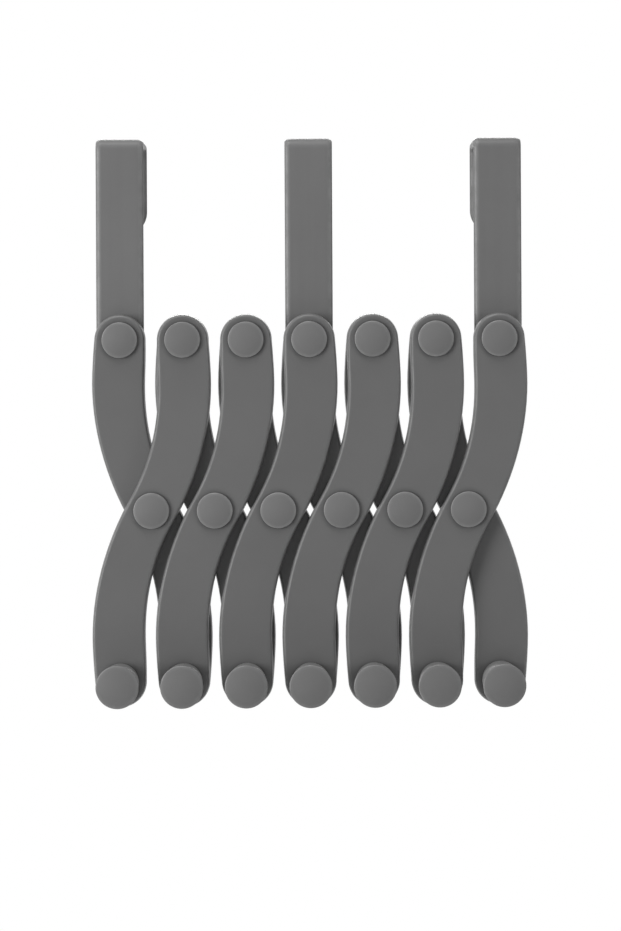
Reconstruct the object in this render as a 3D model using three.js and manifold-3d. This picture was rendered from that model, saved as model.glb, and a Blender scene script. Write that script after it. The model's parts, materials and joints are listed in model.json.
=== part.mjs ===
// Over-the-door accordion hanger. Two layers of S-shaped links cross at a row of middle pivots
// and meet again at a top and a low row, so the lattice opens and closes like an accordion.
// Three hook straps carry it on the top edge of a door, and long pegs stand out of the low row.
// Every pivot is one moulded pin that snaps in from the front: a flat cap or a peg outside, a
// shank through the layers, and a split snap head in a recess of the rearmost layer.
//
// Millimetres. +Z is up and the front faces -Y. The origin is the middle of the centre strap's
// seat, the flat underside that rests on the door's top edge.

import * as THREE from "three";
import { mergeVertices } from "three/addons/utils/BufferGeometryUtils.js";
import Module from "manifold-3d";

// Lattice
const CELLS = 6; // crossings side by side, and links in each layer; even, for a centre strap
const ARM = 90; // pivot to pivot along one half of a link
const LINK_GAP = 2.7; // free space between neighbouring links at the middle pivots, as stored

// Links
const LINK_WIDTH = 26.8; // at the two ends
const LINK_WAIST = 1; // how much narrower a link is at its middle pivot
const LINK_SWELL = 1; // how much wider it is between an end and the crest of its bow
const LINK_THICKNESS = 6;
const LINK_EDGE = 2; // rounding of the moulded edges
const END_TURN = THREE.MathUtils.degToRad(12.9); // of a link's straight ends from its pivot line
const MIDDLE_TURN = THREE.MathUtils.degToRad(19.3); // of the link the other way at its middle pivot

// Hook straps
const STRAP_WIDTH = 24.8;
const STRAP_THICKNESS = 4;
const STRAP_DROP = 101; // from the seat on the door down to the pivot
const STRAP_EDGE = 1.3; // chamfer of the long edges
const DOOR_GAP = 38; // between the front plate and the lip behind the door
const LIP_LENGTH = 44.5; // from the seat down to the lip's lower edge
const BEND_INNER = 1.5; // inside radius of the two bends

// Pivot pins
const PIN_DIAMETER = 8;
const PIN_CLEARANCE = 0.4; // between a shank and its bore, all round
const LAYER_GAP = 0.3; // running gap between pieces that lie face to face
const SNAP_REACH = 1.1; // how far the snap head stands out past the shank
const SNAP_LENGTH = 1.5;
const SNAP_TAPER = 0.8; // narrowing of the snap head at its tip
const SNAP_ROOM = 0.7; // free space round the snap head in its recess
const RECESS_DEPTH = 2; // of the snap head's recess in the rearmost layer
const SLOT_WIDTH = 1.4; // of the slot that lets the snap head close up
const SLOT_DEPTH = 6;

// Caps, pegs and spacers
const CAP_DIAMETER = 18.6;
const CAP_THICKNESS = 2.4;
const CAP_DOME = 0.9; // rise of the cap's face
const CAP_EDGE = 0.6;
const PEG_DIAMETER = 22; // at the front
const PEG_NECK = 19.2; // diameter where the peg meets the link
const PEG_LENGTH = 34;
const PEG_DOME = 1.1;
const PEG_EDGE = 0.8;
const SPACER_WALL = 1.8; // round the snap recess

// Fineness of the round stretches
const LINK_SIDE_STEPS = 5;
const LINK_END_STEPS = 8;
const EDGE_STEPS = 2;
const BORE_SIDES = 12;
const CAP_SIDES = 18;
const SHANK_SIDES = 10;
const SHANK_ROOT = 0.5; // how far a shank is sunk into its head, where the two are one piece
const CUT_MARGIN = 1; // how far cutters reach past the faces that they open
const STRAP_END_STEPS = 5;
const STRAP_BEND_STEPS = 4;
const STRAP_TIP_TURN = THREE.MathUtils.degToRad(16); // where the lofted round end is closed off

// The stored fold: neighbouring links of one layer run one waist and LINK_GAP apart at the middle.
const LINK_STEP = LINK_WIDTH - LINK_WAIST + LINK_GAP;
const FOLD = (Math.asin(Math.sin(MIDDLE_TURN) + LINK_STEP / ARM) - MIDDLE_TURN) / 2;
const PITCH = 2 * ARM * Math.sin(FOLD); // between neighbouring pivots of a row
const ARM_RISE = ARM * Math.cos(FOLD);

// Heights of the pivot rows, the back face of each layer, and the seats of the pins' heads
const TOP_Z = -STRAP_DROP;
const MIDDLE_Z = TOP_Z - ARM_RISE;
const LOW_Z = MIDDLE_Z - ARM_RISE;
const STRAP_BACK = -DOOR_GAP / 2;
const REAR_LINK_BACK = STRAP_BACK - STRAP_THICKNESS - LAYER_GAP;
const FRONT_LINK_BACK = REAR_LINK_BACK - LINK_THICKNESS - LAYER_GAP;
const CAP_SEAT = FRONT_LINK_BACK - LINK_THICKNESS - LAYER_GAP;
const REAR_SEAT = REAR_LINK_BACK - LINK_THICKNESS - LAYER_GAP; // where no front link lies before it

const SHANK_RADIUS = PIN_DIAMETER / 2;
const BORE_RADIUS = SHANK_RADIUS + PIN_CLEARANCE;
const SNAP_RADIUS = SHANK_RADIUS + SNAP_REACH;
const RECESS_RADIUS = SNAP_RADIUS + SNAP_ROOM;

const wasm = await Module();
wasm.setup();

// A closed three.js geometry as a solid that can be joined and cut.
function toSolid(geometry) {
  const bare = geometry.clone();
  bare.deleteAttribute("normal");
  bare.deleteAttribute("uv");
  const merged = mergeVertices(bare);
  return new wasm.Manifold(
    new wasm.Mesh({
      numProp: 3,
      vertProperties: merged.attributes.position.array,
      triVerts: new Uint32Array(merged.index.array),
    }),
  );
}

function toGeometry(solid) {
  const mesh = solid.getMesh();
  const geometry = new THREE.BufferGeometry();
  geometry.setAttribute("position", new THREE.BufferAttribute(mesh.vertProperties, 3));
  geometry.setIndex(new THREE.BufferAttribute(mesh.triVerts, 1));
  geometry.computeVertexNormals();
  return geometry;
}

// A round cutter along Y, from back to front, standing at x, z.
function roundCutter(radius, back, front, x, z) {
  const cylinder = new THREE.CylinderGeometry(radius, radius, back - front, BORE_SIDES);
  cylinder.translate(x, (back + front) / 2, z);
  return toSolid(cylinder);
}

// The bore of one pivot through a plate, and the recess for a snap head in its back face.
function pivotHole(back, thickness, recessed, x, z) {
  const outside = back + CUT_MARGIN;
  const bore = roundCutter(BORE_RADIUS, outside, back - thickness - CUT_MARGIN, x, z);
  const recess = roundCutter(RECESS_RADIUS, outside, back - RECESS_DEPTH, x, z);
  return recessed ? bore.add(recess) : bore;
}

function arcPoints(centreX, centreY, radius, from, to, steps) {
  const points = [];
  for (let i = 0; i < steps; i++) {
    const angle = from + ((to - from) * i) / steps;
    points.push(
      new THREE.Vector2(
        centreX + radius * Math.cos(angle),
        centreY + radius * Math.sin(angle),
      ),
    );
  }
  return points;
}

// The upper half of a link's middle line: a straight stretch from the end pivot, then an arc that
// turns through the pivot line and runs into the middle pivot.
const TURN_SPREAD = Math.cos(END_TURN) - Math.cos(MIDDLE_TURN);
const TURN_SUM = Math.sin(END_TURN) + Math.sin(MIDDLE_TURN);
const STRAIGHT = ARM / (Math.cos(END_TURN) + (Math.sin(END_TURN) * TURN_SUM) / TURN_SPREAD);
const ARC_RADIUS = (STRAIGHT * Math.sin(END_TURN)) / TURN_SPREAD;
const LINE_LENGTH = STRAIGHT + ARC_RADIUS * (END_TURN + MIDDLE_TURN);

// A point of a link's edge, at a share of the middle line from the end pivot. side 1 is its right.
function linkEdge(share, side) {
  const run = share * LINE_LENGTH;
  const straight = Math.min(run, STRAIGHT);
  const turn = END_TURN - (run - straight) / ARC_RADIUS;
  const middleX =
    straight * Math.sin(END_TURN) + ARC_RADIUS * (Math.cos(turn) - Math.cos(END_TURN));
  const middleY =
    ARM - straight * Math.cos(END_TURN) - ARC_RADIUS * (Math.sin(END_TURN) - Math.sin(turn));
  const narrowing = (LINK_WAIST * (1 - Math.cos(Math.PI * share))) / 2;
  const swelling = LINK_SWELL * Math.sin(Math.PI * Math.sqrt(share)) ** 2;
  const reach = (side * (LINK_WIDTH - narrowing + swelling)) / 2;
  return new THREE.Vector2(
    middleX + reach * Math.cos(turn),
    middleY + reach * Math.sin(turn),
  );
}

// The S of a link: its upper half from the middle pivot up its right edge, round the end and back
// down its left edge, then the same half turned about the middle pivot. hand 1 bows the upper half
// to +X, and -1 to -X.
function linkOutline(hand) {
  const shares = Array.from({ length: LINK_SIDE_STEPS }, (_, i) => i / LINK_SIDE_STEPS);
  const half = [
    ...shares.map((share) => linkEdge(1 - share, 1)),
    ...arcPoints(0, ARM, LINK_WIDTH / 2, END_TURN, END_TURN + Math.PI, LINK_END_STEPS),
    ...shares.map((share) => linkEdge(share, -1)),
  ];
  const points = [...half, ...half.map((point) => point.clone().negate())];
  points.forEach((point) => point.setX(hand * point.x));
  return new THREE.Shape(points);
}

// One link about its middle pivot, its back face at y = 0 and its pivot line upright.
function linkGeometry(hand, recessed) {
  const plate = new THREE.ExtrudeGeometry(linkOutline(hand), {
    depth: LINK_THICKNESS - 2 * LINK_EDGE,
    bevelThickness: LINK_EDGE,
    bevelSize: LINK_EDGE,
    bevelOffset: -LINK_EDGE,
    bevelSegments: EDGE_STEPS,
  });
  plate.translate(0, 0, LINK_EDGE);
  plate.rotateX(Math.PI / 2);
  const holes = [ARM, 0, -ARM].map((z) =>
    pivotHole(0, LINK_THICKNESS, recessed, 0, z),
  );
  return toGeometry(holes.reduce((link, hole) => link.subtract(hole), toSolid(plate)));
}

// A closed skin over rings of points, all with the same count, in order round and along.
function loft(rings) {
  const sides = rings[0].length;
  const index = [];
  for (let r = 0; r + 1 < rings.length; r++) {
    for (let s = 0; s < sides; s++) {
      const a = r * sides + s;
      const b = r * sides + ((s + 1) % sides);
      index.push(a, b, b + sides, a, b + sides, a + sides);
    }
  }
  const last = (rings.length - 1) * sides;
  for (let s = 1; s + 1 < sides; s++) {
    index.push(0, s + 1, s, last, last + s, last + s + 1);
  }
  const geometry = new THREE.BufferGeometry().setFromPoints(rings.flat());
  return geometry.setIndex(index);
}

// One section of the strap: a flat bar with chamfered edges, halfWidth to each side of a middle
// point at y, z, and its outer face turned by angle from the front towards the top.
function strapSection(y, z, angle, halfWidth) {
  const half = STRAP_THICKNESS / 2;
  const edge = Math.min(STRAP_EDGE, halfWidth / 2);
  const corners = [
    [-halfWidth, half - edge],
    [-halfWidth + edge, half],
    [halfWidth - edge, half],
    [halfWidth, half - edge],
    [halfWidth, edge - half],
    [halfWidth - edge, -half],
    [edge - halfWidth, -half],
    [-halfWidth, edge - half],
  ];
  return corners.map(
    ([x, out]) =>
      new THREE.Vector3(x, y - out * Math.cos(angle), z + out * Math.sin(angle)),
  );
}

// Sections of a strap's round end, from its edge at y, z in towards the full width.
function strapEnd(y, z, angle) {
  const radius = STRAP_WIDTH / 2;
  const sections = [];
  for (let i = 0; i <= STRAP_END_STEPS; i++) {
    const turn = STRAP_TIP_TURN + ((Math.PI / 2 - STRAP_TIP_TURN) * i) / STRAP_END_STEPS;
    const rise = radius * (Math.cos(STRAP_TIP_TURN) - Math.cos(turn));
    sections.push(strapSection(y, z + rise, angle, radius * Math.sin(turn)));
  }
  return sections;
}

// A hook strap about its seat: front plate, bridge over the door, and lip behind it, lofted along
// the middle of the bar from the round end at the pivot to the lower edge of the lip.
function strapGeometry() {
  const bend = BEND_INNER + STRAP_THICKNESS / 2;
  const plateY = -(DOOR_GAP + STRAP_THICKNESS) / 2;
  const bendY = plateY + bend;
  const sections = strapEnd(plateY, TOP_Z - STRAP_WIDTH / 2, 0);
  for (const [centreY, from] of [[bendY, 0], [-bendY, Math.PI / 2]]) {
    for (let i = 0; i <= STRAP_BEND_STEPS; i++) {
      const angle = from + ((Math.PI / 2) * i) / STRAP_BEND_STEPS;
      const y = centreY - bend * Math.cos(angle);
      const z = bend * Math.sin(angle) - BEND_INNER;
      sections.push(strapSection(y, z, angle, STRAP_WIDTH / 2));
    }
  }
  sections.push(...strapEnd(-plateY, -LIP_LENGTH, Math.PI).reverse());
  const hole = pivotHole(STRAP_BACK, STRAP_THICKNESS, true, 0, TOP_Z);
  return toGeometry(toSolid(loft(sections)).subtract(hole));
}

// Points of a shallow domed face and its rounded rim, from the axis out, the rim's side at y = 0.
function domedFace(radius, dome, edge) {
  const flat = radius - edge;
  const points = [new THREE.Vector2(0, -edge - dome)];
  for (let i = 0; i <= EDGE_STEPS; i++) {
    const turn = ((Math.PI / 2) * i) / EDGE_STEPS;
    points.push(new THREE.Vector2(flat + edge * Math.sin(turn), -edge * Math.cos(turn)));
  }
  return points;
}

// A pin along Y with its head's underside at y = 0, the head towards -Y and the shank towards +Y,
// long enough to hold a stack of layers up to the floor of the last layer's snap recess.
function pinGeometry(face, neckRadius, stack) {
  const snapStart = stack + LAYER_GAP;
  const tip = snapStart + SNAP_LENGTH;
  const head = [...face, new THREE.Vector2(neckRadius, 0), new THREE.Vector2(0, 0)];
  const shank = [
    new THREE.Vector2(0, -SHANK_ROOT),
    new THREE.Vector2(SHANK_RADIUS, -SHANK_ROOT),
    new THREE.Vector2(SHANK_RADIUS, snapStart),
    new THREE.Vector2(SNAP_RADIUS, snapStart),
    new THREE.Vector2(SNAP_RADIUS - SNAP_TAPER, tip),
    new THREE.Vector2(0, tip),
  ];
  const slot = new THREE.BoxGeometry(
    SLOT_WIDTH,
    SLOT_DEPTH + CUT_MARGIN,
    2 * (SNAP_RADIUS + CUT_MARGIN),
  );
  slot.translate(0, tip + (CUT_MARGIN - SLOT_DEPTH) / 2, 0);
  const snap = toSolid(new THREE.LatheGeometry(shank, SHANK_SIDES)).subtract(toSolid(slot));
  return toGeometry(toSolid(new THREE.LatheGeometry(head, CAP_SIDES)).add(snap));
}

function capGeometry(stack) {
  const radius = CAP_DIAMETER / 2;
  const head = domedFace(radius, CAP_DOME, CAP_EDGE);
  head.forEach((point) => point.setY(point.y - (CAP_THICKNESS - CAP_EDGE - CAP_DOME)));
  return pinGeometry(head, radius, stack);
}

function pegGeometry(length, stack) {
  const head = domedFace(PEG_DIAMETER / 2, PEG_DOME, PEG_EDGE);
  head.forEach((point) => point.setY(point.y - (length - PEG_EDGE - PEG_DOME)));
  return pinGeometry(head, PEG_NECK / 2, stack);
}

// A ring that fills the place of the missing link where a pivot carries only one.
function spacerGeometry() {
  const radius = RECESS_RADIUS + SPACER_WALL;
  const ring = new THREE.CylinderGeometry(radius, radius, LINK_THICKNESS, CAP_SIDES);
  ring.translate(0, -LINK_THICKNESS / 2, 0);
  return toGeometry(
    toSolid(ring).subtract(pivotHole(0, LINK_THICKNESS, true, 0, 0)),
  );
}

const hanger = new THREE.Group();
hanger.name = "accordion_hanger";

const FINISH = {
  link: { color: 0x6c6c6c, roughness: 0.55 },
  strap: { color: 0x707070, roughness: 0.55 },
  pin: { color: 0x747474, roughness: 0.5 },
};

function addPiece(name, geometry, finish, x, y, z, parent = hanger) {
  const material = new THREE.MeshStandardMaterial({ ...FINISH[finish], metalness: 0 });
  const mesh = new THREE.Mesh(geometry, material);
  mesh.name = name;
  mesh.position.set(x, y, z);
  parent.add(mesh);
}

// Place of a row's nth pivot from the left, counted from 1.
const rowX = (n) => (n - 1 - CELLS / 2) * PITCH;

// Links, each in a group that leans it about its middle pivot.
const frontLink = linkGeometry(1, false);
const rearLink = linkGeometry(-1, true);
for (let n = 1; n <= CELLS; n++) {
  for (const [layer, geometry, back, lean] of [
    ["front", frontLink, FRONT_LINK_BACK, FOLD],
    ["rear", rearLink, REAR_LINK_BACK, -FOLD],
  ]) {
    const crossing = new THREE.Group();
    crossing.position.set(rowX(n) + PITCH / 2, back, MIDDLE_Z);
    crossing.rotation.y = lean;
    hanger.add(crossing);
    addPiece(`${layer}_link_${n}`, geometry, "link", 0, 0, 0, crossing);
  }
}

// Hook straps on the first, centre and last pivot of the top row.
const CENTRE = CELLS / 2 + 1;
const LAST = CELLS + 1;
const strapAt = { 1: "strap_left", [CENTRE]: "strap_centre", [LAST]: "strap_right" };
const strap = strapGeometry();
for (const [n, name] of Object.entries(strapAt)) {
  addPiece(name, strap, "strap", rowX(Number(n)), 0, 0);
}

// Pins: the stack is what a pin holds between its head and the floor of the snap recess. The first
// cap and the last peg lie on a rear link that has no front link before it, and that peg is longer,
// so that all pegs end in one plane.
const linkFloor = REAR_LINK_BACK - RECESS_DEPTH;
const strapFloor = STRAP_BACK - RECESS_DEPTH;
for (let n = 1; n <= LAST; n++) {
  const capSeat = n === 1 ? REAR_SEAT : CAP_SEAT;
  const cap = capGeometry((strapAt[n] ? strapFloor : linkFloor) - capSeat);
  addPiece(`top_cap_${n}`, cap, "pin", rowX(n), capSeat, TOP_Z);
  const pegSeat = n === LAST ? REAR_SEAT : CAP_SEAT;
  const peg = pegGeometry(PEG_LENGTH + pegSeat - CAP_SEAT, linkFloor - pegSeat);
  addPiece(`peg_${n}`, peg, "pin", rowX(n), pegSeat, LOW_Z);
}
for (let n = 1; n <= CELLS; n++) {
  const cap = capGeometry(linkFloor - CAP_SEAT);
  addPiece(`middle_cap_${n}`, cap, "pin", rowX(n) + PITCH / 2, CAP_SEAT, MIDDLE_Z);
}

// Spacers in the rear layer, behind the two front links that have no rear link at their pivot.
const spacer = spacerGeometry();
addPiece("spacer_top_right", spacer, "link", rowX(LAST), REAR_LINK_BACK, TOP_Z);
addPiece("spacer_low_left", spacer, "link", rowX(1), REAR_LINK_BACK, LOW_Z);

export default hanger;
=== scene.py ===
"""Fine surfaces, finishes and studio for the over-the-door accordion hanger.

Two layers of S-shaped links, three hook straps, flat pivot caps, long pegs and spacer rings, all
moulded in mid-grey plastic. Each fine piece takes its place from the pivots of the solid model
and rides on the same body as the solid that it stands for.
"""

import json
import math

import bmesh
import bpy
from bpy.props import FloatProperty, FloatVectorProperty, PointerProperty
from mathutils import Matrix, Vector


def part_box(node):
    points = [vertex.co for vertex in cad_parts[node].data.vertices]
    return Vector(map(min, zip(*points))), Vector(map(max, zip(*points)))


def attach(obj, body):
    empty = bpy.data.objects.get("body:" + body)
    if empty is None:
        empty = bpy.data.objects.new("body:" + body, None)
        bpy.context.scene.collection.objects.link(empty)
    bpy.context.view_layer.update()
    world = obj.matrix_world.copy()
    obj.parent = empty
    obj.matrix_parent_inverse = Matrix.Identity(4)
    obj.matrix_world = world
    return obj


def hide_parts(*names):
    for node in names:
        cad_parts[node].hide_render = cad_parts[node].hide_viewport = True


bl_info = {
    "name": "Accordion Hanger",
    "version": (1, 0, 0),
    "blender": (4, 5, 0),
    "location": "View3D > Sidebar > Hanger",
    "description": "Builds an over-the-door accordion hanger with its finishes and studio",
    "category": "Object",
}

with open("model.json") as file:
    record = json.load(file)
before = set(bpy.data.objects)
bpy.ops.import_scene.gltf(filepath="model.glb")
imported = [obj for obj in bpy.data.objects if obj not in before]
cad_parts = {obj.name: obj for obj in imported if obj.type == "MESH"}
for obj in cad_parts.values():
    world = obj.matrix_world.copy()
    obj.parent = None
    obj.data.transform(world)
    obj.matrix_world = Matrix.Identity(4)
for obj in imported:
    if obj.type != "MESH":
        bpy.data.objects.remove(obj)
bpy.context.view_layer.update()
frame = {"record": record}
BODIES = frame["record"]["behaviour"]["bodies"]
BODY_OF = {name: body for body, names in BODIES.items() for name in names}

MM = 0.001
LINKS = 6
PIVOTS = LINKS + 1
STRAP_PIVOTS = {"strap_left": 1, "strap_centre": 4, "strap_right": 7}


def solid_middle(name):
    """Middle of a solid's box, which lies on the axis of a round piece."""
    low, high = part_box(name)
    return (low + high) / 2


# Pivot rows, read from the pins of the solid model
TOP_ROW = [solid_middle(f"top_cap_{n}") for n in range(1, PIVOTS + 1)]
MIDDLE_ROW = [solid_middle(f"middle_cap_{n}") for n in range(1, LINKS + 1)]
LOW_ROW = [solid_middle(f"peg_{n}") for n in range(1, PIVOTS + 1)]
ARM_LENGTH = (TOP_ROW[1].xz - MIDDLE_ROW[0].xz).length
LEAN = math.asin((TOP_ROW[1].x - LOW_ROW[0].x) / (2 * ARM_LENGTH))

# Layers, from the flat faces of the solid model: y runs from the front to the door
FRONT_LINK_FACE, FRONT_LINK_BACK = (corner.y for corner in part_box("front_link_1"))
REAR_LINK_FACE, REAR_LINK_BACK = (corner.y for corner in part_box("rear_link_1"))
LINK_THICKNESS = FRONT_LINK_BACK - FRONT_LINK_FACE
LAYER_GAP = REAR_LINK_FACE - FRONT_LINK_BACK
STRAP_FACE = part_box("strap_centre")[0].y
PEG_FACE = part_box("peg_1")[0].y
CAP_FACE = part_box("middle_cap_1")[0].y
CAP_THICKNESS = FRONT_LINK_FACE - LAYER_GAP - CAP_FACE


def angle(label, text, degrees):
    """A turn that a user can change."""
    return FloatProperty(
        name=label,
        description=text,
        default=math.radians(degrees),
        subtype="ANGLE",
        unit="ROTATION",
    )


def length(label, text, default):
    """A size that a user can change, in metres."""
    return FloatProperty(name=label, description=text, default=default, min=0.0, unit="LENGTH")


def coordinate(label, text, default):
    """A coordinate that a user can change, in metres."""
    return FloatProperty(name=label, description=text, default=default, unit="LENGTH")


def wattage(label, text, default):
    """A lamp's power, in watts."""
    return FloatProperty(name=label, description=text, default=default, min=0.0, unit="POWER")


def share(label, text, default):
    """A value from 0 to 1 that a user can change."""
    return FloatProperty(name=label, description=text, default=default, min=0.0, max=1.0)


def grey(label, text, level):
    """A neutral colour that a user can change."""
    return FloatVectorProperty(
        name=label,
        description=text,
        default=(level, level, level),
        subtype="COLOR",
        min=0.0,
        max=1.0,
    )


class HangerSizes(bpy.types.PropertyGroup):
    """Sizes of the moulded pieces."""

    link_width: length("Link width", "Width of a link at its ends", 26.8 * MM)
    link_waist: length("Link waist", "How much narrower a link is in the middle", 1 * MM)
    link_swell: length("Link swell", "How much wider it is between an end and its crest", 1 * MM)
    link_edge: length("Link edge", "Rounding of a link's front edges", 1.4 * MM)
    link_back_edge: length("Link back edge", "Rounding of a link's back edges", 0.5 * MM)
    link_draft: length("Link draft", "How far a link's walls lean in to the front", 0.45 * MM)
    end_turn: angle("End turn", "Turn of a link's straight ends from its pivot line", 12.9)
    middle_turn: angle("Middle turn", "Turn of a link the other way in the middle", 19.3)
    bore_radius: length("Bore radius", "Radius of the pivot bores", 4.4 * MM)
    recess_radius: length("Recess radius", "Radius of the snap head's recess", 5.8 * MM)
    recess_depth: length("Recess depth", "Depth of the snap head's recess", 2 * MM)
    strap_width: length("Strap width", "Width of a hook strap", 24.8 * MM)
    strap_thickness: length("Strap thickness", "Thickness of a hook strap", 4 * MM)
    strap_edge: length("Strap edge", "Depth of the rounding of a strap's long edges", 1.8 * MM)
    strap_shoulder: length("Strap shoulder", "Width of that rounding across the strap", 3 * MM)
    bend_inner: length("Inside bend", "Inside radius of a strap's bends", 1.5 * MM)
    lip_length: length("Lip length", "From the seat down to the lip's edge", 44.5 * MM)
    cap_radius: length("Cap radius", "Radius of a pivot cap", 9.3 * MM)
    cap_edge: length("Cap edge", "Rounding of a cap's rim", 0.6 * MM)
    cap_dome: length("Cap dome", "Rise of a cap's face", 1.1 * MM)
    peg_radius: length("Peg radius", "Radius of a peg's front", 11 * MM)
    peg_neck: length("Peg neck", "Radius of a peg at the link", 9.6 * MM)
    peg_edge: length("Peg edge", "Rounding of a peg's rim", 0.8 * MM)
    peg_dome: length("Peg dome", "Rise of a peg's face", 1.3 * MM)
    shank_radius: length("Shank radius", "Radius of a pin's shank", 4 * MM)
    snap_radius: length("Snap radius", "Radius of the split snap head", 5.1 * MM)
    snap_length: length("Snap length", "Length of the split snap head", 1.5 * MM)
    snap_taper: length("Snap taper", "Narrowing of the snap head's tip", 0.8 * MM)
    slot_width: length("Slot width", "Slot that lets the snap head close", 1.4 * MM)
    slot_depth: length("Slot depth", "Depth of that slot", 6 * MM)
    spacer_radius: length("Spacer radius", "Outside radius of a spacer", 7.6 * MM)
    mark_radius: length("Mark radius", "Radius of the ejector marks on the backs", 2.5 * MM)
    mark_depth: length("Mark depth", "Depth of the ejector marks", 0.2 * MM)


class HangerFinish(bpy.types.PropertyGroup):
    """Colours and surface of the plastic."""

    link_grey: grey("Link grey", "Colour of links and spacers", 0.132)
    strap_grey: grey("Strap grey", "Colour of the hook straps", 0.148)
    cap_grey: grey("Cap grey", "Colour of the pivot caps", 0.156)
    peg_grey: grey("Peg grey", "Colour of the pegs", 0.145)
    roughness: share("Roughness", "Roughness of the moulded face", 0.42)
    grain: share("Grain", "Strength of the moulded grain", 0.22)
    # The four below lighten rounded edges and rims in the plastic's colour: a painted highlight
    link_highlight: share("Link burnish", "How much lighter the edges of the links are", 0.31)
    strap_highlight: share("Strap burnish", "How much lighter the edges of the straps are", 0.37)
    cap_highlight: share("Cap burnish", "How much lighter the rims of the caps are", 0.55)
    peg_highlight: share("Peg burnish", "How much lighter the rims of the pegs are", 0.42)
    # Darkens a ring of the links round each cap and peg: painted shade
    painted_shade: share("Painted shade", "Grime held on the links around the caps", 0.34)
    dust: share("Dust", "Dust on faces that look up", 0.05)


class HangerStudio(bpy.types.PropertyGroup):
    """Camera and light."""

    distance: length("Distance", "From the camera to the front links", 1.8)
    frame_height: length("Frame height", "Height that the picture takes in there", 0.4818)
    roll: angle("Roll", "Turn of the camera about its line of sight", 0.3)
    aim_x: coordinate("Aim X", "Middle of the picture across", 0.0006)
    aim_z: coordinate("Aim Z", "Middle of the picture in height", -0.1664)
    rise: coordinate("Rise", "Height of the camera over the middle of the picture", 0.045)
    surround: share("Surround", "Light from all around", 0.085)
    left_lamp: wattage("Left lamp", "Power of the lamp on the left", 30.0)
    right_lamp: wattage("Right lamp", "Power of the lamp on the right", 8.5)
    top_lamp: wattage("Top lamp", "Power of the lamp above", 15.0)
    back_lamp: wattage("Back lamp", "Power of the lamp behind", 22.0)


# Mesh making

# Steps of the round stretches
EDGE_STEPS = 6
SIDE_STEPS = 20
END_STEPS = 28
TURN_STEPS = 72
BORE_STEPS = 48
BEND_STEPS = 12
STRAP_END_STEPS = 20
FACE_STEPS = 8
SMOOTH_ANGLE = math.radians(32)

# Small forms
SUPPORT = 0.6 * MM  # flat band beside a rounding, which keeps the shading of flat faces even
CUT_MARGIN = 1 * MM  # how far cutters reach past the faces that they open
PIN_FOOT = 0.2 * MM  # chamfer under a cap or peg
SNAP_CHAMFER = 0.25 * MM
SPACER_EDGE = 0.4 * MM
STRAP_TIP_TURN = math.radians(7)  # where the round end of a strap is closed off
LEAST_FLAT = 0.2  # share of the half width that stays flat where a strap's end narrows
FACE_HUB = 0.02  # share of a domed face's radius that the facet in its middle takes

# Ejector marks, at shares of the way from an end pivot to the middle one, or from seat to pivot
LINK_MARKS = (0.34, 0.67)
STRAP_MARKS = (0.3, 0.65)

# Data of the vertices that finishes read: how exposed an edge is to rubbing, which sets its
# smoother roughness and its painted highlight, and the place on a piece before it is set in the
# hanger
RUB_AND_HIGHLIGHT_MASK = "edge_rub"
OWN_PLACE = "own_place"
BACK_EDGE_RUB_AND_HIGHLIGHT = 0.5
RIM_START_RUB_AND_HIGHLIGHT = 0.4
RIM_END_RUB_AND_HIGHLIGHT = 0.2
FOOT_RUB_AND_HIGHLIGHT = 0.1


def quarter(steps):
    """Angles of a quarter turn, both ends included."""
    return [math.pi / 2 * i / steps for i in range(steps + 1)]


def skin(shape, rings, loop=False):
    """Adds a skin over rings of (point, rub), all of one count, its ends closed or joined."""
    mask = shape.verts.layers.float.get(RUB_AND_HIGHLIGHT_MASK) or shape.verts.layers.float.new(RUB_AND_HIGHLIGHT_MASK)
    rows = []
    for ring in rings:
        row = []
        for point, rub_and_highlight in ring:
            vert = shape.verts.new(point)
            vert[mask] = rub_and_highlight
            row.append(vert)
        rows.append(row)
    for here, there in zip(rows, rows[1:] + rows[:1] if loop else rows[1:]):
        for i, vert in enumerate(here):
            after = (i + 1) % len(here)
            shape.faces.new((vert, here[after], there[after], there[i]))
    if not loop:
        shape.faces.new(rows[0][::-1])
        shape.faces.new(rows[-1])


def turned(shape, profile, steps=TURN_STEPS, at=(0.0, 0.0), loop=False):
    """Adds a body turned about an axis along Y at x, z from a profile of (radius, y, rub)."""
    rings = []
    for radius, y, rub_and_highlight in profile:
        ring = []
        for i in range(steps):
            turn = 2 * math.pi * i / steps
            x, z = at[0] + radius * math.sin(turn), at[1] + radius * math.cos(turn)
            ring.append((Vector((x, y, z)), rub_and_highlight))
        rings.append(ring)
    skin(shape, rings, loop)


def smooth(mesh):
    """The mesh, shaded smooth up to its sharp edges."""
    mesh.polygons.foreach_set("use_smooth", [True] * len(mesh.polygons))
    mesh.set_sharp_from_angle(angle=SMOOTH_ANGLE)
    return mesh


def finished(shape, name):
    """Turns a bmesh into a smooth mesh with its faces out."""
    bmesh.ops.recalc_face_normals(shape, faces=shape.faces)
    mesh = bpy.data.meshes.new(name)
    shape.to_mesh(mesh)
    shape.free()
    return smooth(mesh)


def cut(mesh, cutter):
    """The mesh with the cutter's space taken out of it."""
    body = bpy.data.objects.new("body", mesh)
    tool = bpy.data.objects.new("tool", cutter)
    for thing in (body, tool):
        bpy.context.scene.collection.objects.link(thing)
    trim = body.modifiers.new("trim", "BOOLEAN")
    trim.operation = "DIFFERENCE"
    trim.solver = "EXACT"
    trim.object = tool
    bpy.context.view_layer.update()
    seen = body.evaluated_get(bpy.context.evaluated_depsgraph_get())
    result = bpy.data.meshes.new_from_object(seen)
    result.name = mesh.name
    for thing in (body, tool):
        bpy.data.objects.remove(thing)
    bpy.data.meshes.remove(cutter)
    bpy.data.meshes.remove(mesh)
    return smooth(result)


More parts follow.
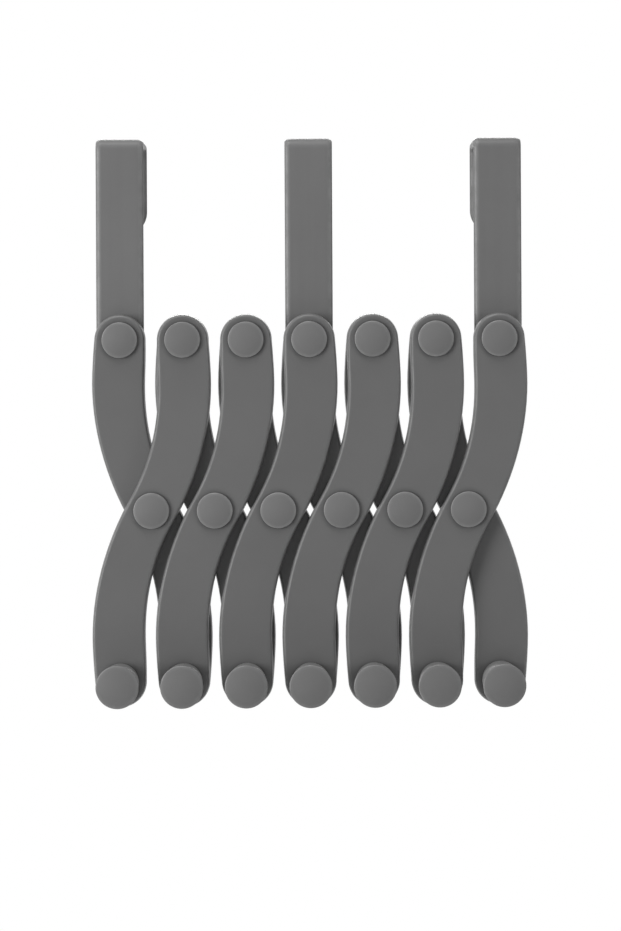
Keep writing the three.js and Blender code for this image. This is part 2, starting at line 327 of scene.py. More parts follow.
def back_cutter(sizes, back, front, recessed, bores, marks):
    """One cutter with a bore and perhaps a snap recess at each bore place, and ejector marks."""
    outside = back + CUT_MARGIN
    bore = [(sizes.bore_radius, front - CUT_MARGIN, 0.0)]
    if recessed:
        floor = back - sizes.recess_depth
        bore += [(sizes.bore_radius, floor, 0.0), (sizes.recess_radius, floor, 0.0)]
        bore += [(sizes.recess_radius, outside, 0.0)]
    else:
        bore += [(sizes.bore_radius, outside, 0.0)]
    mark_floor = back - sizes.mark_depth
    mark = [(sizes.mark_radius, mark_floor, 0.0), (sizes.mark_radius, outside, 0.0)]
    shape = bmesh.new()
    for profile, places in ((bore, bores), (mark, marks)):
        for at in places:
            turned(shape, profile, BORE_STEPS, at)
    return finished(shape, "cutter")


def arc(centre_x, centre_z, radius, start, end, steps):
    """Points of an arc, its last point left for the next stretch."""
    points = []
    for i in range(steps):
        turn = start + (end - start) * i / steps
        points.append((centre_x + radius * math.cos(turn), centre_z + radius * math.sin(turn)))
    return points


def link_edge_point(sizes, part, side, inset):
    """A point of a link's edge, at a part of the way from its end pivot to the middle one.

    The middle line runs straight from the end pivot and then along an arc. side 1 is its right.
    """
    end, middle = sizes.end_turn, sizes.middle_turn
    spread = math.cos(end) - math.cos(middle)
    rise = math.sin(end) * (math.sin(end) + math.sin(middle)) / spread
    straight = ARM_LENGTH / (math.cos(end) + rise)
    radius = straight * math.sin(end) / spread
    run = part * (straight + radius * (end + middle))
    ahead = min(run, straight)
    turn = end - (run - ahead) / radius
    x = ahead * math.sin(end) + radius * (math.cos(turn) - math.cos(end))
    z = ARM_LENGTH - ahead * math.cos(end) - radius * (math.sin(end) - math.sin(turn))
    narrowing = sizes.link_waist * (1 - math.cos(math.pi * part)) / 2
    swelling = sizes.link_swell * math.sin(math.pi * math.sqrt(part)) ** 2
    reach = side * ((sizes.link_width - narrowing + swelling) / 2 - inset)
    return (x + reach * math.cos(turn), z + reach * math.sin(turn))


def link_outline(sizes, inset, hand):
    """The S of a link about its middle pivot, drawn in by inset. hand -1 is the mirror image."""
    parts = [i / SIDE_STEPS for i in range(SIDE_STEPS)]
    radius = sizes.link_width / 2 - inset
    start = sizes.end_turn
    half = [
        *(link_edge_point(sizes, 1 - part, 1, inset) for part in parts),
        *arc(0, ARM_LENGTH, radius, start, start + math.pi, END_STEPS),
        *(link_edge_point(sizes, part, -1, inset) for part in parts),
    ]
    return [(hand * x, z) for x, z in half] + [(-hand * x, -z) for x, z in half]


def link_mesh(sizes, hand, recessed):
    """A link about its middle pivot, its back at y = 0 and its pivot line upright."""
    face = -LINK_THICKNESS
    edge, back, draft = sizes.link_edge, sizes.link_back_edge, sizes.link_draft
    steps = [(draft + edge + SUPPORT, face, 0.0)]
    for turn in quarter(EDGE_STEPS):
        drop = edge * (1 - math.cos(turn))
        steps.append((draft + edge * (1 - math.sin(turn)), drop + face, math.sin(2 * turn)))
    for turn in reversed(quarter(EDGE_STEPS)):
        drop = back * (1 - math.cos(turn))
        rub_and_highlight = BACK_EDGE_RUB_AND_HIGHLIGHT * math.sin(2 * turn)
        steps.append((back * (1 - math.sin(turn)), -drop, rub_and_highlight))
    steps.append((back + SUPPORT, 0.0, 0.0))
    rings = []
    for inset, y, rub_and_highlight in steps:
        rings.append([(Vector((x, y, z)), rub_and_highlight) for x, z in link_outline(sizes, inset, hand)])
    shape = bmesh.new()
    skin(shape, rings)
    bores = [(0, ARM_LENGTH), (0, 0), (0, -ARM_LENGTH)]
    marks = []
    for part in LINK_MARKS:
        (left, low), (right, high) = (link_edge_point(sizes, part, side, 0) for side in (-1, 1))
        x, z = hand * (left + right) / 2, (low + high) / 2
        marks += [(x, z), (-x, -z)]
    cutter = back_cutter(sizes, 0.0, face, recessed, bores, marks)
    return cut(finished(shape, "link"), cutter)


def strap_section(sizes, y, z, facing, half_width):
    """One section of a strap: a flat bar with rounded edges, its outer face turned by facing."""
    half = sizes.strap_thickness / 2
    shoulder = min(sizes.strap_shoulder, half_width / 2)
    flat = max(half_width - shoulder - SUPPORT, LEAST_FLAT * half_width)
    points = []
    for side_x, side_out in ((1, 1), (1, -1), (-1, -1), (-1, 1)):
        corner = [(side_x * flat, side_out * half, 0.0)]
        for turn in quarter(EDGE_STEPS):
            x = half_width - shoulder * (1 - math.sin(turn))
            out = half - sizes.strap_edge * (1 - math.cos(turn))
            corner.append((side_x * x, side_out * out, math.sin(2 * turn)))
        points += corner if side_x == side_out else corner[::-1]
    return [
        (Vector((x, y - out * math.cos(facing), z + out * math.sin(facing))), rub_and_highlight)
        for x, out, rub_and_highlight in points
    ]


def strap_end(sizes, y, z, facing):
    """Sections of a strap's round end, from its edge in to the full width."""
    radius = sizes.strap_width / 2
    sections = []
    for i in range(STRAP_END_STEPS + 1):
        turn = STRAP_TIP_TURN + (math.pi / 2 - STRAP_TIP_TURN) * i / STRAP_END_STEPS
        rise = radius * (math.cos(STRAP_TIP_TURN) - math.cos(turn))
        sections.append(strap_section(sizes, y, z + rise, facing, radius * math.sin(turn)))
    return sections


def strap_mesh(sizes):
    """A hook strap about its seat, from the round end at the pivot to the edge of the lip."""
    pivot_z = TOP_ROW[0].z
    plate_y = STRAP_FACE + sizes.strap_thickness / 2
    bend = sizes.bend_inner + sizes.strap_thickness / 2
    bend_y = plate_y + bend
    half_width = sizes.strap_width / 2
    sections = strap_end(sizes, plate_y, pivot_z - half_width, 0)
    for centre_y, start in ((bend_y, 0), (-bend_y, math.pi / 2)):
        for turn in quarter(BEND_STEPS):
            facing = start + turn
            y = centre_y - bend * math.cos(facing)
            z = bend * math.sin(facing) - sizes.bend_inner
            sections.append(strap_section(sizes, y, z, facing, half_width))
    lip = strap_end(sizes, -plate_y, -sizes.lip_length, math.pi)
    sections += lip[::-1]
    shape = bmesh.new()
    skin(shape, sections)
    back = STRAP_FACE + sizes.strap_thickness
    marks = [(0, part * pivot_z) for part in STRAP_MARKS]
    cutter = back_cutter(sizes, back, STRAP_FACE, True, [(0, pivot_z)], marks)
    return cut(finished(shape, "strap"), cutter)


def domed_face(radius, edge, dome, face):
    """Profile of a shallow domed face and its round rim, from the axis out."""
    flat = radius - edge
    profile = []
    for i in range(FACE_STEPS + 1):
        out = (FACE_HUB + (1 - FACE_HUB) * i / FACE_STEPS) * flat
        rub_and_highlight = RIM_START_RUB_AND_HIGHLIGHT if i == FACE_STEPS else 0.0
        profile.append((out, face + dome * (out / flat) ** 2, rub_and_highlight))
    for turn in quarter(EDGE_STEPS)[1:]:
        out = flat + edge * math.sin(turn)
        drop = dome + edge * (1 - math.cos(turn))
        rub_and_highlight = math.sin(2 * turn) if turn < math.pi / 2 else RIM_END_RUB_AND_HIGHLIGHT
        profile.append((out, face + drop, rub_and_highlight))
    return profile


def slot_cutter(sizes, tip):
    """A cutter that splits a snap head from its tip."""
    box = (
        sizes.slot_width,
        sizes.slot_depth + CUT_MARGIN,
        2 * (sizes.snap_radius + CUT_MARGIN),
    )
    middle = (0, tip + (CUT_MARGIN - sizes.slot_depth) / 2, 0)
    shape = bmesh.new()
    bmesh.ops.create_cube(shape, matrix=Matrix.LocRotScale(middle, None, box))
    return finished(shape, "slot")


def pin_mesh(sizes, face_profile, neck, seat, tip, name):
    """A pin along Y: domed head in front, shank, and a split snap head behind."""
    snap_start = tip - sizes.snap_length
    end_radius = sizes.snap_radius - sizes.snap_taper
    profile = [
        *face_profile,
        (neck, seat - PIN_FOOT, FOOT_RUB_AND_HIGHLIGHT),
        (neck - PIN_FOOT, seat, 0.0),
        (sizes.shank_radius, seat, 0.0),
        (sizes.shank_radius, snap_start, 0.0),
        (sizes.snap_radius - SNAP_CHAMFER, snap_start, 0.0),
        (sizes.snap_radius, snap_start + SNAP_CHAMFER, 0.0),
        (end_radius, tip - SNAP_CHAMFER, 0.0),
        (end_radius - SNAP_CHAMFER, tip, 0.0),
    ]
    shape = bmesh.new()
    turned(shape, profile)
    return cut(finished(shape, name), slot_cutter(sizes, tip))


def spacer_mesh(sizes):
    """A spacer ring, its back at y = 0, with a snap recess behind its bore."""
    face = -LINK_THICKNESS
    rim = []
    for turn in quarter(EDGE_STEPS):
        out = sizes.spacer_radius - SPACER_EDGE * (1 - math.sin(turn))
        rim.append((out, SPACER_EDGE * (1 - math.cos(turn)), math.sin(2 * turn)))
    inside = sizes.spacer_radius - SPACER_EDGE - SUPPORT
    profile = [
        (sizes.bore_radius, face, 0.0),
        (inside, face, 0.0),
        *((out, drop + face, rub_and_highlight) for out, drop, rub_and_highlight in rim),
        *((out, -drop, rub_and_highlight) for out, drop, rub_and_highlight in reversed(rim)),
        (inside, 0.0, 0.0),
        (sizes.recess_radius, 0.0, 0.0),
        (sizes.recess_radius, -sizes.recess_depth, 0.0),
        (sizes.bore_radius, -sizes.recess_depth, 0.0),
    ]
    shape = bmesh.new()
    turned(shape, profile, loop=True)
    return finished(shape, "spacer")


def add_piece(name, mesh, place, lean, finish):
    """A fine piece that stands for a solid, leaned about Y and set at a place."""
    own = mesh.copy()
    places = [number for vert in own.vertices for number in vert.co]
    own.attributes.new(OWN_PLACE, "FLOAT_VECTOR", "POINT").data.foreach_set("vector", places)
    own.transform(Matrix.Translation(place) @ Matrix.Rotation(lean, 4, "Y"))
    own.name = f"{name}_moulding"
    own.materials.clear()
    own.materials.append(bpy.data.materials[finish])
    piece = bpy.data.objects.new(f"{name}_moulding", own)
    bpy.context.scene.collection.objects.link(piece)
    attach(piece, BODY_OF[name])
    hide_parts(name)


# Finishes

LINK_FINISH = "Link plastic"
STRAP_FINISH = "Strap plastic"
CAP_FINISH = "Cap plastic"
PEG_FINISH = "Peg plastic"

# Noises over the surface: scale, detail and roughness
FINE_PITS = (2600.0, 2.0, 0.6)
COARSE_PITS = (900.0, 2.0, 0.5)
BROAD_WAVES = (45.0, 2.0, 0.5)
HAND_CLOUDS = (22.0, 3.0, 0.55)
FLOW_STREAKS = (1.0, 2.0, 0.5)
RUB_AND_HIGHLIGHT_PATCHES = (130.0, 3.0, 0.6)
DUST_SPECKS = (420.0, 4.0, 0.7)
PAINTED_SHADE_PATCHES = (160.0, 3.0, 0.6)
FLOW_STRETCH = (320.0, 320.0, 9.0)  # streaks run along Z
FINE_SHARE = 0.6  # of the fine pits among all pits
BROAD_SHARE = 0.35  # height of the broad waves

# Ranges: from low and high to low and high
NOISE_RANGE = (0.3, 0.7, 0.0, 1.0)
RUB_AND_HIGHLIGHT_RANGE = (0.35, 0.65, 0.35, 1.0)
DUST_RANGE = (0.4, 0.7, 0.2, 1.0)
PAINTED_SHADE_RANGE = (0.3, 0.7, 0.75, 1.0)
UPWARD_RANGE = (0.35, 0.95, 0.0, 1.0)  # of a normal's Z, from bare to dusty

# The ring of painted shade: how far it fades out from a cap's rim, and where it starts under the
# rim
PAINTED_SHADE_WIDTH = 3.4 * MM
PAINTED_SHADE_START = 0.92

# Shades of a plastic's own colour, its painted edge highlight and painted seat shade, and the
# dust's colour
CLOUD_SHADES = (0.96, 1.04)
SPECKLE_SHADE = 1.35
SPECKLE_AMOUNT = 0.10
FLOW_SHADE = 1.25
# Lightening of the rubbed edges and rims: a painted highlight
EDGE_HIGHLIGHT_SHADE = 2.2
# Darkening of the ring round a cap or peg: painted shade
PAINTED_SHADE_LEVEL = 0.08
DUST_COLOUR = (0.55, 0.54, 0.52)
STRAP_FLOW = 0.12

# Gloss and relief of the plastic
PLASTIC_IOR = 1.49
SPECULAR_LEVEL = 0.25
CLOUD_ROUGHNESS = 0.05
SPECKLE_ROUGHNESS = 0.06
RUB_ROUGHNESS = -0.12
DUST_ROUGHNESS = 0.10
CAP_ROUGHNESS = -0.06
PEG_ROUGHNESS = -0.04
BUMP_STRENGTH = 0.35
BUMP_DEPTH = 0.15 * MM


def node(tree, kind, **settings):
    """A new node of a tree with its settings."""
    made = tree.nodes.new(kind)
    for key, value in settings.items():
        setattr(made, key, value)
    return made


def maths(tree, operation, first, second=0.0, clamp=False):
    """A Math node fed by sockets or plain numbers."""
    made = node(tree, "ShaderNodeMath", operation=operation, use_clamp=clamp)
    for place, value in enumerate((first, second)):
        if isinstance(value, (int, float)):
            made.inputs[place].default_value = value
        else:
            tree.links.new(value, made.inputs[place])
    return made.outputs[0]


def ranged(tree, value, low, high, to_low, to_high):
    """A value carried from one range to another, held at its ends."""
    made = node(tree, "ShaderNodeMapRange")
    made.inputs["From Min"].default_value = low
    made.inputs["From Max"].default_value = high
    made.inputs["To Min"].default_value = to_low
    made.inputs["To Max"].default_value = to_high
    tree.links.new(value, made.inputs["Value"])
    return made.outputs["Result"]


def surface_place(tree):
    """Places on the surface, in metres of the hanger's frame."""
    return node(tree, "ShaderNodeTexCoord").outputs["Object"]


def noise(tree, places, kind):
    """Values of one of the noises above."""
    made = node(tree, "ShaderNodeTexNoise", noise_dimensions="3D")
    for name, value in zip(("Scale", "Detail", "Roughness"), kind):
        made.inputs[name].default_value = value
    tree.links.new(places, made.inputs["Vector"])
    return made.outputs["Fac"]


def axes(tree, vector):
    """The X, Y and Z of a vector."""
    split = node(tree, "ShaderNodeSeparateXYZ")
    tree.links.new(vector, split.inputs["Vector"])
    return [split.outputs[axis] for axis in "XYZ"]


def new_group(name, *outputs):
    """A new shader group that puts out a value for each name, and its output node."""
    group = bpy.data.node_groups.new(name, "ShaderNodeTree")
    for output in outputs:
        group.interface.new_socket(name=output, in_out="OUTPUT", socket_type="NodeSocketFloat")
    return group, node(group, "NodeGroupOutput")


def moulded_grain_group():
    """Fine spark-eroded grain of a moulding tool, with broad soft unevenness under it."""
    group, outside = new_group("Moulded grain", "Height", "Speckle")
    amount = group.interface.new_socket(
        name="Grain", in_out="INPUT", socket_type="NodeSocketFloat"
    )
    amount.min_value, amount.max_value = 0.0, 1.0
    inside = node(group, "NodeGroupInput")
    at = surface_place(group)
    fine = maths(group, "MULTIPLY", noise(group, at, FINE_PITS), FINE_SHARE)
    coarse = maths(group, "MULTIPLY", noise(group, at, COARSE_PITS), 1 - FINE_SHARE)
    pits = maths(group, "ADD", fine, coarse)
    broad = maths(group, "MULTIPLY", noise(group, at, BROAD_WAVES), BROAD_SHARE)
    grainy = maths(group, "MULTIPLY", pits, inside.outputs["Grain"])
    group.links.new(maths(group, "ADD", grainy, broad), outside.inputs["Height"])
    group.links.new(ranged(group, pits, *NOISE_RANGE), outside.inputs["Speckle"])
    return group


def handling_group():
    """Soft clouds where hands have polished the surface, and flow marks along the mould."""
    group, outside = new_group("Handling and flow", "Clouds", "Streaks")
    at = surface_place(group)
    clouds = noise(group, at, HAND_CLOUDS)
    stretch = node(group, "ShaderNodeMapping")
    stretch.inputs["Scale"].default_value = FLOW_STRETCH
    group.links.new(at, stretch.inputs["Vector"])
    streaks = noise(group, stretch.outputs["Vector"], FLOW_STREAKS)
    group.links.new(ranged(group, clouds, *NOISE_RANGE), outside.inputs["Clouds"])
    group.links.new(ranged(group, streaks, *NOISE_RANGE), outside.inputs["Streaks"])
    return group


def edge_rub_and_highlight_group():
    """Rounded edges, broken up, where use has rubbed them smoother and a painted highlight
    lightens them.
    """
    group, outside = new_group("Edge rub", "Mask")
    rub_and_highlight = node(group, "ShaderNodeAttribute", attribute_name=RUB_AND_HIGHLIGHT_MASK).outputs["Fac"]
    patches = ranged(group, noise(group, surface_place(group), RUB_AND_HIGHLIGHT_PATCHES), *RUB_AND_HIGHLIGHT_RANGE)
    mask = maths(group, "MULTIPLY", rub_and_highlight, patches, clamp=True)
    group.links.new(mask, outside.inputs["Mask"])
    return group


def dust_group():
    """Thin dust that settles on what looks up."""
    group, outside = new_group("Dust", "Mask")
    normal = node(group, "ShaderNodeNewGeometry").outputs["Normal"]
    upward = ranged(group, axes(group, normal)[2], *UPWARD_RANGE)
    specks = ranged(group, noise(group, surface_place(group), DUST_SPECKS), *DUST_RANGE)
    group.links.new(maths(group, "MULTIPLY", upward, specks), outside.inputs["Mask"])
    return group


def painted_shade_group(sizes):
    """A ring of painted shade on the front of a link, where a cap or peg meets it."""
    group, outside = new_group("Seat grime", "Mask")
    own = node(group, "ShaderNodeAttribute", attribute_name=OWN_PLACE)
    x, y, z = axes(group, own.outputs["Vector"])
    raised = maths(group, "ADD", z, ARM_LENGTH / 2)
    along = maths(group, "SUBTRACT", z, maths(group, "SNAP", raised, ARM_LENGTH))
    squares = [maths(group, "MULTIPLY", run, run) for run in (x, along)]
    away = maths(group, "SQRT", maths(group, "ADD", *squares))
    rim = sizes.cap_radius
    near = ranged(group, away, rim, rim + PAINTED_SHADE_WIDTH, 1.0, 0.0)
    outer = maths(group, "GREATER_THAN", away, PAINTED_SHADE_START * rim)
    ring = maths(group, "MULTIPLY", near, outer)
    front = maths(group, "LESS_THAN", y, -LINK_THICKNESS / 2)
    patches = ranged(group, noise(group, surface_place(group), PAINTED_SHADE_PATCHES), *PAINTED_SHADE_RANGE)
    held = maths(group, "MULTIPLY", maths(group, "MULTIPLY", ring, ring), front)
    group.links.new(maths(group, "MULTIPLY", held, patches), outside.inputs["Mask"])
    return group


def effect(tree, group):
    """A shared effect placed in a material."""
    return node(tree, "ShaderNodeGroup", node_tree=group)


def blend_colour(tree, factor, first, second):
    """A Mix node between two colours, each a socket or a plain colour."""
    made = node(tree, "ShaderNodeMix", data_type="RGBA", clamp_factor=True)
    tree.links.new(factor, made.inputs["Factor"])
    colours = [socket for socket in made.inputs if socket.type == "RGBA"]
    for socket, value in zip(colours, (first, second)):
        if isinstance(value, bpy.types.NodeSocket):
            tree.links.new(value, socket)
        else:
            socket.default_value = (*value, 1.0)
    return next(socket for socket in made.outputs if socket.type == "RGBA")


def shade(colour, factor):
    """A colour made lighter or darker."""
    return tuple(min(1.0, channel * factor) for channel in colour)


def plastic(name, finish, groups, colour, highlight, rough_shift=0.0, streaky=0.0, painted_shade_amount=0.0):
    """Matte moulded plastic: grain, handling clouds, flow marks, rubbed edges with a painted
    highlight, a ring of painted shade round the seats, and dust.
    """
    made = bpy.data.materials.new(name)
    made.use_nodes = True
    tree = made.node_tree
    tree.nodes.clear()
    out = node(tree, "ShaderNodeOutputMaterial")
    surface = node(tree, "ShaderNodeBsdfPrincipled")
    tree.links.new(surface.outputs["BSDF"], out.inputs["Surface"])
    surface.inputs["IOR"].default_value = PLASTIC_IOR
    surface.inputs["Specular IOR Level"].default_value = SPECULAR_LEVEL

    grain = effect(tree, groups["grain"])
    grain.inputs["Grain"].default_value = finish.grain
    handling = effect(tree, groups["handling"])
    speckle, clouds = grain.outputs["Speckle"], handling.outputs["Clouds"]
    rub_and_highlight = effect(tree, groups["rub_and_highlight"]).outputs["Mask"]
    dust = effect(tree, groups["dust"]).outputs["Mask"]

    layers = [(speckle, SPECKLE_AMOUNT, shade(colour, SPECKLE_SHADE))]
    if streaky:
        layers += [(handling.outputs["Streaks"], streaky, shade(colour, FLOW_SHADE))]
    # Rounded edges and rims lightened: a painted highlight
    layers += [(rub_and_highlight, highlight, shade(colour, EDGE_HIGHLIGHT_SHADE))]
    # A ring round each cap and peg darkened: painted shade
    if painted_shade_amount:
        painted_shade = effect(tree, groups["painted_shade"]).outputs["Mask"]
        layers += [(painted_shade, painted_shade_amount, shade(colour, PAINTED_SHADE_LEVEL))]
    layers += [(dust, finish.dust, DUST_COLOUR)]
    tint = blend_colour(tree, clouds, *(shade(colour, factor) for factor in CLOUD_SHADES))
    for mask, amount, over in layers:
        tint = blend_colour(tree, maths(tree, "MULTIPLY", mask, amount), tint, over)
    tree.links.new(tint, surface.inputs["Base Color"])

    level = finish.roughness + rough_shift
    rough = ranged(tree, clouds, 0.0, 1.0, level - CLOUD_ROUGHNESS, level + CLOUD_ROUGHNESS)
    for mask, change in (
        (speckle, SPECKLE_ROUGHNESS),
        (rub_and_highlight, RUB_ROUGHNESS),
        (dust, DUST_ROUGHNESS),
    ):
        rough = maths(tree, "ADD", rough, maths(tree, "MULTIPLY", mask, change), clamp=True)
    tree.links.new(rough, surface.inputs["Roughness"])

    bump = node(tree, "ShaderNodeBump")
    bump.inputs["Strength"].default_value = BUMP_STRENGTH
    bump.inputs["Distance"].default_value = BUMP_DEPTH
    tree.links.new(grain.outputs["Height"], bump.inputs["Height"])
    tree.links.new(bump.outputs["Normal"], surface.inputs["Normal"])


def make_finishes(finish, sizes):
    """Makes the effects that the plastics share, and the four plastics."""
    groups = {
        "grain": moulded_grain_group(),
        "handling": handling_group(),
        "rub_and_highlight": edge_rub_and_highlight_group(),
        "dust": dust_group(),
        "painted_shade": painted_shade_group(sizes),
    }
    for name, colour, highlight, own in (
        (LINK_FINISH, finish.link_grey, finish.link_highlight, {"painted_shade_amount": finish.painted_shade}),
        (STRAP_FINISH, finish.strap_grey, finish.strap_highlight, {"streaky": STRAP_FLOW}),
        (CAP_FINISH, finish.cap_grey, finish.cap_highlight, {"rough_shift": CAP_ROUGHNESS}),
        (PEG_FINISH, finish.peg_grey, finish.peg_highlight, {"rough_shift": PEG_ROUGHNESS}),
    ):
        plastic(name, finish, groups, colour, highlight, **own)


# Operators


class HANGER_OT_finishes(bpy.types.Operator):
    """Makes the plastics of the links, straps, caps and pegs"""

    bl_idname = "hanger.finishes"
    bl_label = "Finishes"

    def execute(self, context):
        make_finishes(context.scene.hanger_finish, context.scene.hanger_sizes)
        return {"FINISHED"}


class HANGER_OT_links(bpy.types.Operator):
    """Builds the two layers of S-shaped links"""

    bl_idname = "hanger.links"
    bl_label = "Links"

    def execute(self, context):
        sizes = context.scene.hanger_sizes
        for layer, hand, back, recessed in (
            ("front", 1, FRONT_LINK_BACK, False),
            ("rear", -1, REAR_LINK_BACK, True),
        ):
            mesh = link_mesh(sizes, hand, recessed)
            for n, pivot in enumerate(MIDDLE_ROW, 1):
                place = (pivot.x, back, pivot.z)
                add_piece(f"{layer}_link_{n}", mesh, place, hand * LEAN, LINK_FINISH)
        return {"FINISHED"}


class HANGER_OT_straps(bpy.types.Operator):
    """Builds the three hook straps"""

    bl_idname = "hanger.straps"
    bl_label = "Hook straps"

    def execute(self, context):
        mesh = strap_mesh(context.scene.hanger_sizes)
        for name, n in STRAP_PIVOTS.items():
            add_piece(name, mesh, (TOP_ROW[n - 1].x, 0, 0), 0.0, STRAP_FINISH)
        return {"FINISHED"}


class HANGER_OT_caps(bpy.types.Operator):
    """Builds the flat caps of the top and middle pivots, with their snap shanks"""

    bl_idname = "hanger.caps"
    bl_label = "Pivot caps"

    def execute(self, context):
        sizes = context.scene.hanger_sizes
        for row, pivots in (("top", TOP_ROW), ("middle", MIDDLE_ROW)):
            for n, pivot in enumerate(pivots, 1):
                name = f"{row}_cap_{n}"
                front, tip = (corner.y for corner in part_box(name))
                face = domed_face(sizes.cap_radius, sizes.cap_edge, sizes.cap_dome, front)
                seat = front + CAP_THICKNESS
                mesh = pin_mesh(sizes, face, sizes.cap_radius, seat, tip, name)
                add_piece(name, mesh, (pivot.x, 0, pivot.z), 0.0, CAP_FINISH)
        return {"FINISHED"}


class HANGER_OT_pegs(bpy.types.Operator):
    """Builds the long pegs of the low pivots, with their snap shanks"""

    bl_idname = "hanger.pegs"
    bl_label = "Pegs"

    def execute(self, context):
        sizes = context.scene.hanger_sizes
        face = domed_face(sizes.peg_radius, sizes.peg_edge, sizes.peg_dome, PEG_FACE)
        for n, pivot in enumerate(LOW_ROW, 1):
            name = f"peg_{n}"
            seat = (REAR_LINK_FACE if n == PIVOTS else FRONT_LINK_FACE) - LAYER_GAP
            mesh = pin_mesh(sizes, face, sizes.peg_neck, seat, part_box(name)[1].y, name)
            add_piece(name, mesh, (pivot.x, 0, pivot.z), 0.0, PEG_FINISH)
        return {"FINISHED"}


class HANGER_OT_spacers(bpy.types.Operator):
    """Builds the spacer rings behind the two front links that have no rear link at their pivot"""

    bl_idname = "hanger.spacers"
    bl_label = "Spacers"

    def execute(self, context):
        mesh = spacer_mesh(context.scene.hanger_sizes)
        for name, pivot in (("spacer_top_right", TOP_ROW[-1]), ("spacer_low_left", LOW_ROW[0])):
            place = (pivot.x, REAR_LINK_BACK, pivot.z)
            add_piece(name, mesh, place, 0.0, LINK_FINISH)
        return {"FINISHED"}


# Studio

# Place and width of each lamp
LAMPS = {
    "left_lamp": ((-1.62, -1.2, 0.0), 1.2),
    "right_lamp": ((1.75, -0.95, 0.1), 0.9),
    "top_lamp": ((-0.24, -0.43, 1.37), 0.8),
    "back_lamp": ((0.0, 1.8, 0.8), 1.2),
}
FLOOR_HEIGHT = -0.62
FLOOR_RADIUS = 1.15
FLOOR_SIDES = 96
FLOOR_GREY = 0.9
FLOOR_WHITE = 0.7  # share of plain white where the floor is seen; the rest keeps the shadow
SENSOR_HEIGHT = 36.0
FAR_CLIP = 50.0


def lamp(name, place, target, width, watts):
    """A round soft lamp that looks at a target."""
    data = bpy.data.lights.new(name, "AREA")
    data.shape = "DISK"
    data.size = width
    data.energy = watts
    thing = bpy.data.objects.new(name, data)
    thing.location = place
    aim = Vector(target) - Vector(place)
    thing.rotation_euler = aim.to_track_quat("-Z", "Y").to_euler()
    bpy.context.scene.collection.objects.link(thing)


def seen_ray(tree):
    """1 for rays that show the background: from the camera, in gloss or through glass."""
    path = node(tree, "ShaderNodeLightPath").outputs
    seen = maths(tree, "ADD", path["Is Camera Ray"], path["Is Glossy Ray"], clamp=True)
    return maths(tree, "ADD", seen, path["Is Transmission Ray"], clamp=True)


def make_world(surround):
    """White where it is seen, and an even soft light elsewhere."""
    world = bpy.data.worlds.new("Studio")
    bpy.context.scene.world = world
    world.use_nodes = True
    tree = world.node_tree
    tree.nodes.clear()
    out = node(tree, "ShaderNodeOutputWorld")
    light = node(tree, "ShaderNodeBackground")
    light.inputs["Color"].default_value = (1.0, 1.0, 1.0, 1.0)
    level = ranged(tree, seen_ray(tree), 0.0, 1.0, surround, 1.0)
    tree.links.new(level, light.inputs["Strength"])
    tree.links.new(light.outputs["Background"], out.inputs["Surface"])


def make_floor():
    """A wide pale floor that stays nearly white and keeps a soft shadow."""
    shape = bmesh.new()
    bmesh.ops.create_circle(shape, cap_ends=True, radius=FLOOR_RADIUS, segments=FLOOR_SIDES)
    mesh = bpy.data.meshes.new("floor")
    shape.to_mesh(mesh)
    shape.free()
    floor = bpy.data.objects.new("floor", mesh)
    floor.location = (0, 0, FLOOR_HEIGHT)
    bpy.context.scene.collection.objects.link(floor)
    made = bpy.data.materials.new("Floor")
    made.use_nodes = True
    tree = made.node_tree
    tree.nodes.clear()
    out = node(tree, "ShaderNodeOutputMaterial")
    paint = node(tree, "ShaderNodeBsdfDiffuse")
    paint.inputs["Color"].default_value = (FLOOR_GREY, FLOOR_GREY, FLOOR_GREY, 1.0)
    white = node(tree, "ShaderNodeEmission")
    white.inputs["Strength"].default_value = 1.0
    mix = node(tree, "ShaderNodeMixShader")
    tree.links.new(maths(tree, "MULTIPLY", seen_ray(tree), FLOOR_WHITE), mix.inputs["Fac"])
    tree.links.new(paint.outputs["BSDF"], mix.inputs[1])
    tree.links.new(white.outputs["Emission"], mix.inputs[2])
    tree.links.new(mix.outputs["Shader"], out.inputs["Surface"])
    mesh.materials.append(made)


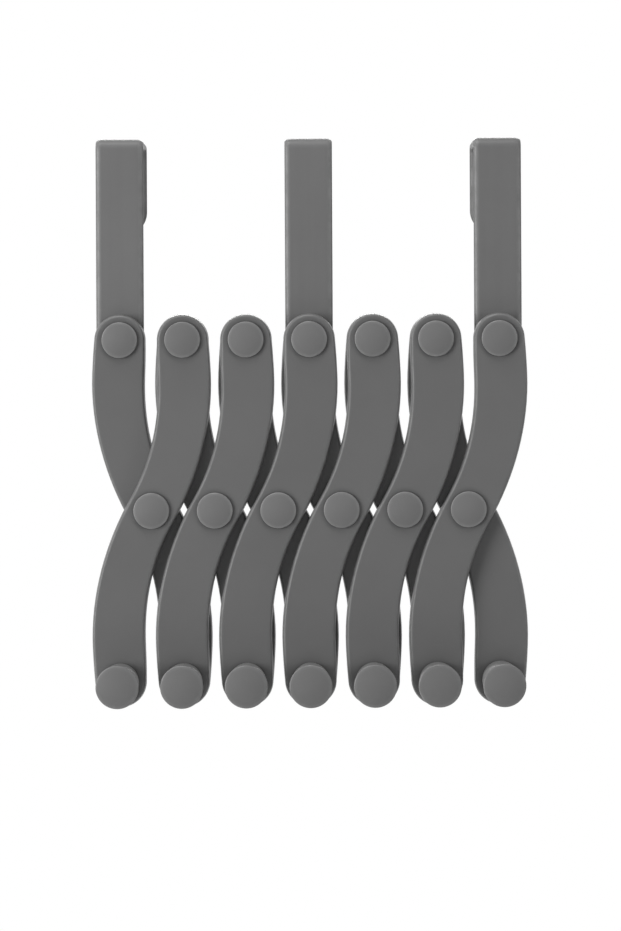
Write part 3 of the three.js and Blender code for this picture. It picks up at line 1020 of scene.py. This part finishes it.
def make_camera(studio):
    """A long lens in front, a little high and shifted down, scaled at the fronts of the links."""
    data = bpy.data.cameras.new("camera")
    data.sensor_fit = "VERTICAL"
    data.sensor_height = SENSOR_HEIGHT
    data.lens = SENSOR_HEIGHT * studio.distance / studio.frame_height
    data.shift_y = -studio.rise / studio.frame_height
    data.clip_end = FAR_CLIP
    thing = bpy.data.objects.new("camera", data)
    height = studio.aim_z + studio.rise
    thing.location = (studio.aim_x, FRONT_LINK_FACE - studio.distance, height)
    thing.rotation_euler = (math.pi / 2, studio.roll, 0)
    bpy.context.scene.collection.objects.link(thing)
    bpy.context.scene.camera = thing


class HANGER_OT_stage(bpy.types.Operator):
    """Sets up the floor, the soft studio light and the camera"""

    bl_idname = "hanger.stage"
    bl_label = "Stage"

    def execute(self, context):
        studio = context.scene.hanger_studio
        make_world(studio.surround)
        target = (0, FRONT_LINK_FACE, studio.aim_z)
        for name, (place, width) in LAMPS.items():
            lamp(name, place, target, width, getattr(studio, name))
        make_floor()
        make_camera(studio)
        context.scene.view_settings.view_transform = "Standard"
        return {"FINISHED"}


class HANGER_PT_panel(bpy.types.Panel):
    """Lists the steps that build the hanger"""

    bl_idname = "HANGER_PT_panel"
    bl_label = "Accordion Hanger"
    bl_space_type = "VIEW_3D"
    bl_region_type = "UI"
    bl_category = "Hanger"

    def draw(self, context):
        for step in STEPS:
            self.layout.operator(step.bl_idname, text=step.bl_label)


STEPS = (
    HANGER_OT_finishes,
    HANGER_OT_links,
    HANGER_OT_straps,
    HANGER_OT_caps,
    HANGER_OT_pegs,
    HANGER_OT_spacers,
    HANGER_OT_stage,
)
GROUPS = {
    "hanger_sizes": HangerSizes,
    "hanger_finish": HangerFinish,
    "hanger_studio": HangerStudio,
}
CLASSES = (*GROUPS.values(), *STEPS, HANGER_PT_panel)


def register():
    """Makes the operators, the panel and the settings known to Blender."""
    for made in CLASSES:
        bpy.utils.register_class(made)
    for name, group in GROUPS.items():
        setattr(bpy.types.Scene, name, PointerProperty(type=group))


def unregister():
    """Takes them away again."""
    for name in GROUPS:
        delattr(bpy.types.Scene, name)
    for made in reversed(CLASSES):
        bpy.utils.unregister_class(made)


def main():
    """Builds the hanger and its stage."""
    register()
    bpy.ops.hanger.finishes()
    bpy.ops.hanger.links()
    bpy.ops.hanger.straps()
    bpy.ops.hanger.caps()
    bpy.ops.hanger.pegs()
    bpy.ops.hanger.spacers()
    bpy.ops.hanger.stage()


if __name__ == "__main__":
    main()
